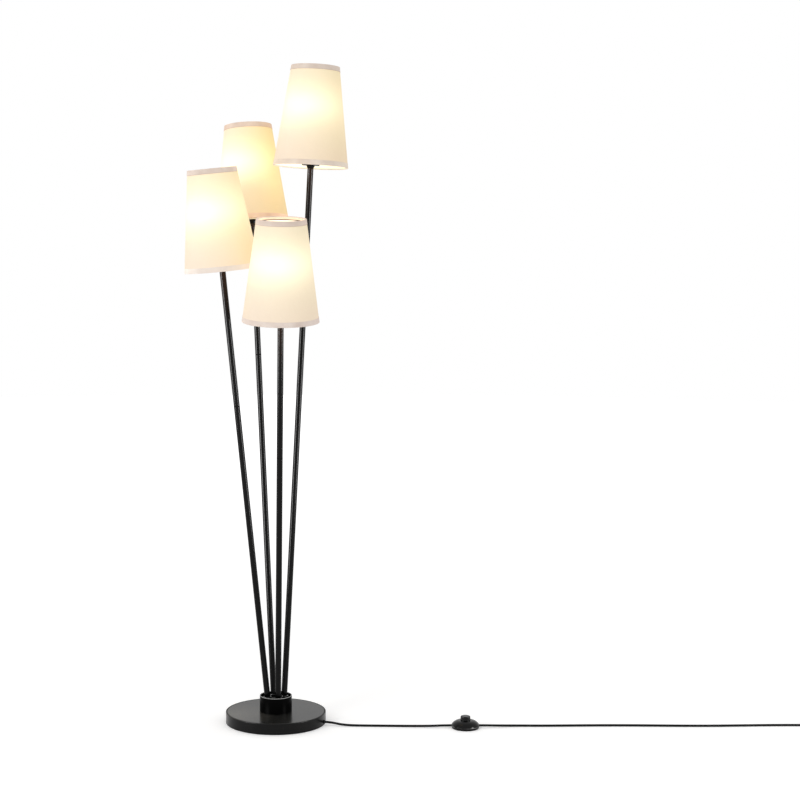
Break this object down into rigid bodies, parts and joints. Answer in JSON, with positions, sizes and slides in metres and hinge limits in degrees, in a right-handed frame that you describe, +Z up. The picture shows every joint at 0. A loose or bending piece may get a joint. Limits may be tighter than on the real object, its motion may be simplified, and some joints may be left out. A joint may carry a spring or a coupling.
{
  "type": "tree floor lamp",
  "caption": "Floor lamp with a round weighted base, leaning slim poles of stepped height, a lit cone shade on each pole, and a mains lead with a foot switch.",
  "frame": {"origin": "centre of the base's underside, on the floor", "axes": "+Z up; +X to the right in the front view, where the lead leaves; +Y away from the viewer"},
  "size_m": [1.6241, 0.4653, 1.6272],
  "materials": {
    "base_black": "satin black powder coat",
    "collar_black": "satin black",
    "holder_black": "satin black",
    "pole_black": "semi-gloss black",
    "cast_iron": "rough",
    "steel": "zinc plated",
    "bright_trim": "bright",
    "floor_felt": "felt",
    "terminal_plastic": "natural",
    "lead_plastic": "clear lead",
    "cord_plastic": "satin black lead",
    "brass": "plain",
    "cap_metal": "threaded cap",
    "socket_plastic": "phenolic",
    "bulb_glass": "frosted, lit",
    "shade_cloth": "woven cloth on a stiff liner, lit from inside",
    "shade_tape": "folded edge tape",
    "frame_white": "white coat on wire",
    "switch_plastic": "gloss black",
    "switch_button": "gloss black",
    "mechanism_plastic": "natural",
    "plug_plastic": "moulded black"
  },
  "bodies": {
    "stand": {"base_pad": "floor_felt", "base_plate": "steel", "base_shell": "base_black", "base_weight": "cast_iron", "bulb_caps": "cap_metal", "bulb_front": "bulb_glass", "bulb_left": "bulb_glass", "bulb_rear": "bulb_glass", "bulb_right": "bulb_glass", "collar": "collar_black", "collar_screws": "steel", "cord_base_run": "cord_plastic", "cord_bush": "cord_plastic", "cord_coil": "cord_plastic", "cord_inner": "cord_plastic", "cord_plug_run": "cord_plastic", "lamp_leads": "lead_plastic", "plate_screws": "steel", "plug_blades": "brass", "plug_body": "plug_plastic", "pole_ferrules": "bright_trim", "pole_holder": "holder_black", "pole_lower_front": "pole_black", "pole_lower_left": "pole_black", "pole_lower_rear": "pole_black", "pole_lower_right": "pole_black", "pole_upper_front": "pole_black", "pole_upper_left": "pole_black", "pole_upper_rear": "pole_black", "pole_upper_right": "pole_black", "shade_frame_front": "frame_white", "shade_frame_left": "frame_white", "shade_frame_rear": "frame_white", "shade_frame_right": "frame_white", "shade_front": "shade_cloth", "shade_left": "shade_cloth", "shade_lock_rings": "socket_plastic", "shade_rear": "shade_cloth", "shade_right": "shade_cloth", "shade_seats": "pole_black", "shade_tape_front": "shade_tape", "shade_tape_left": "shade_tape", "shade_tape_rear": "shade_tape", "shade_tape_right": "shade_tape", "socket_contacts": "brass", "socket_front": "socket_plastic", "socket_left": "socket_plastic", "socket_rear": "socket_plastic", "socket_right": "socket_plastic", "switch_base": "switch_plastic", "switch_cover": "switch_plastic", "switch_mechanism": "mechanism_plastic", "switch_screws": "steel", "switch_spring": "steel", "switch_terminals": "brass", "terminal_block": "terminal_plastic", "threaded_nipples": "steel"},
    "button": {"switch_button": "switch_button"},
    "rotor": {"switch_rotor": "mechanism_plastic"}
  },
  "joints": [
    {"name": "button_press", "type": "slide", "parent": "stand", "child": "button", "axis": [0, 0, -1], "range_m": [0, 0.004], "stiffness_N_per_m": 700, "springref_m": -0.008, "deforming": ["switch_spring"]},
    {"name": "rotor_index", "type": "hinge", "parent": "stand", "child": "rotor", "pos_m": [0.47, -0.056, 0.004], "axis": [0, 0, 1], "range_deg": [0, 45]}
  ],
  "couplings": [
    {"joint": "rotor_index", "follows": "button_press", "rad_per_m": 196.3}
  ]
}
